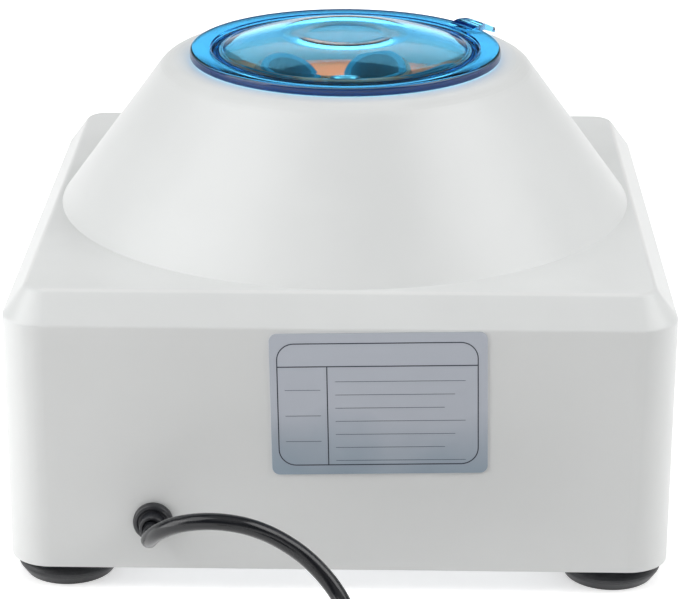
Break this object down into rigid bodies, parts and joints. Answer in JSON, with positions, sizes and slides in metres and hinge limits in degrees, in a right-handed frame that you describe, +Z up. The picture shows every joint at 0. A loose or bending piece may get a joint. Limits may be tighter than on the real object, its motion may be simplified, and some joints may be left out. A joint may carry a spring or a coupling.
{
  "type": "benchtop centrifuge",
  "caption": "Square benchtop centrifuge with conical top, clear lift-off lid, angle rotor with tube sleeves, knobs, rocker switch, suction feet and mains cord.",
  "frame": {"origin": "on the floor, in the middle of the plan outline of the machine with its knobs and rating plate, the cord and its strain relief left out; the rotor axis stands 9.1 mm behind it", "axes": "+Z up along the rotor axis, -Y towards the front with the knobs and the switch, +X to the right as the front is faced"},
  "size_m": [0.26, 0.5069, 0.1937],
  "materials": {
    "housing": "satin white moulded plastic",
    "steel_plate": "zinc-plated sheet",
    "rubber": "black rubber",
    "screws": "zinc-plated fasteners",
    "bowl": "white moulded plastic",
    "rating_plate": "printed foil plate, silver-blue",
    "black_plastic": "black moulded plastic",
    "motor_metal": "painted steel",
    "bright_steel": "ground steel",
    "copper": "copper",
    "carbon": "carbon",
    "brown_plastic": "brown phenolic",
    "light_plastic": "cream moulded plastic",
    "rotor": "orange moulded plastic",
    "sleeve": "blue-green moulded plastic",
    "clear_lid": "clear blue moulded plastic",
    "red_plastic": "red moulded plastic",
    "board": "green circuit board",
    "heat_sink": "extruded aluminium",
    "capacitor": "yellow plastic case",
    "cord": "black flexible plastic",
    "plug_metal": "brass"
  },
  "bodies": {
    "base": {"housing_shell": "housing", "bottom_plate": "steel_plate", "motor_bracket": "steel_plate", "suction_foot_1": "rubber", "suction_foot_2": "rubber", "suction_foot_3": "rubber", "suction_foot_4": "rubber", "dampers": "rubber", "foot_screws": "screws", "bowl_screws": "screws", "damper_bolts": "screws", "damper_nuts": "screws", "control_nuts": "screws", "board_screws": "screws", "chamber_bowl": "bowl", "rating_plate": "rating_plate", "strain_relief": "black_plastic", "strain_relief_ring": "black_plastic", "switch_frame": "black_plastic", "motor_casing": "motor_metal", "motor_lower_cap": "motor_metal", "motor_upper_cap": "motor_metal", "field_core": "motor_metal", "lower_bearing": "bright_steel", "upper_bearing": "bright_steel", "speed_control": "bright_steel", "field_coils": "copper", "carbon_brushes": "carbon", "brush_holders": "brown_plastic", "timer_unit": "light_plastic", "board_posts": "light_plastic", "terminal_block": "light_plastic", "control_board": "board", "heat_sink": "heat_sink", "filter_capacitor": "capacitor", "power_cord": "cord", "cord_coil": "cord", "plug_lead": "cord", "plug_body": "cord", "plug_blades": "plug_metal"},
    "rotor": {"motor_shaft": "bright_steel", "armature": "motor_metal", "commutator": "copper", "cooling_fan": "light_plastic", "rotor_head": "rotor", "rotor_washer": "screws", "rotor_nut": "screws"},
    "lid": {"lid": "clear_lid"},
    "timer_knob": {"timer_knob": "black_plastic", "timer_shaft": "bright_steel"},
    "speed_knob": {"speed_knob": "black_plastic", "speed_shaft": "bright_steel"},
    "power_rocker": {"power_rocker": "red_plastic"},
    "tube_sleeve_1": {"tube_sleeve_1": "sleeve"},
    "tube_sleeve_2": {"tube_sleeve_2": "sleeve"},
    "tube_sleeve_3": {"tube_sleeve_3": "sleeve"},
    "tube_sleeve_4": {"tube_sleeve_4": "sleeve"},
    "tube_sleeve_5": {"tube_sleeve_5": "sleeve"},
    "tube_sleeve_6": {"tube_sleeve_6": "sleeve"}
  },
  "joints": [
    {"name": "rotor_spin", "type": "hinge", "parent": "base", "child": "rotor", "pos_m": [0, 0.0091, 0.162], "axis": [0, 0, 1], "continuous": true},
    {"name": "lid_lift", "type": "slide", "parent": "base", "child": "lid", "axis": [0, 0, 1], "range_m": [0, 0.12]},
    {"name": "timer_turn", "type": "hinge", "parent": "base", "child": "timer_knob", "pos_m": [-0.062, -0.1209, 0.05776], "axis": [0, 1, 0], "range_deg": [0, 300]},
    {"name": "speed_turn", "type": "hinge", "parent": "base", "child": "speed_knob", "pos_m": [0.062, -0.1209, 0.05776], "axis": [0, 1, 0], "range_deg": [0, 270]},
    {"name": "power_tip", "type": "hinge", "parent": "base", "child": "power_rocker", "pos_m": [0, -0.1179, 0.05776], "axis": [-1, 0, 0], "range_deg": [0, 18]},
    {"name": "sleeve_lift_1", "type": "slide", "parent": "rotor", "child": "tube_sleeve_1", "axis": [0.1818, 0.5134, 0.8387], "range_m": [0, 0.012]},
    {"name": "sleeve_lift_2", "type": "slide", "parent": "rotor", "child": "tube_sleeve_2", "axis": [-0.3537, 0.4141, 0.8387], "range_m": [0, 0.012]},
    {"name": "sleeve_lift_3", "type": "slide", "parent": "rotor", "child": "tube_sleeve_3", "axis": [-0.5355, -0.0993, 0.8387], "range_m": [0, 0.012]},
    {"name": "sleeve_lift_4", "type": "slide", "parent": "rotor", "child": "tube_sleeve_4", "axis": [-0.1818, -0.5134, 0.8387], "range_m": [0, 0.012]},
    {"name": "sleeve_lift_5", "type": "slide", "parent": "rotor", "child": "tube_sleeve_5", "axis": [0.3537, -0.4141, 0.8387], "range_m": [0, 0.012]},
    {"name": "sleeve_lift_6", "type": "slide", "parent": "rotor", "child": "tube_sleeve_6", "axis": [0.5355, 0.0993, 0.8387], "range_m": [0, 0.012]}
  ]
}
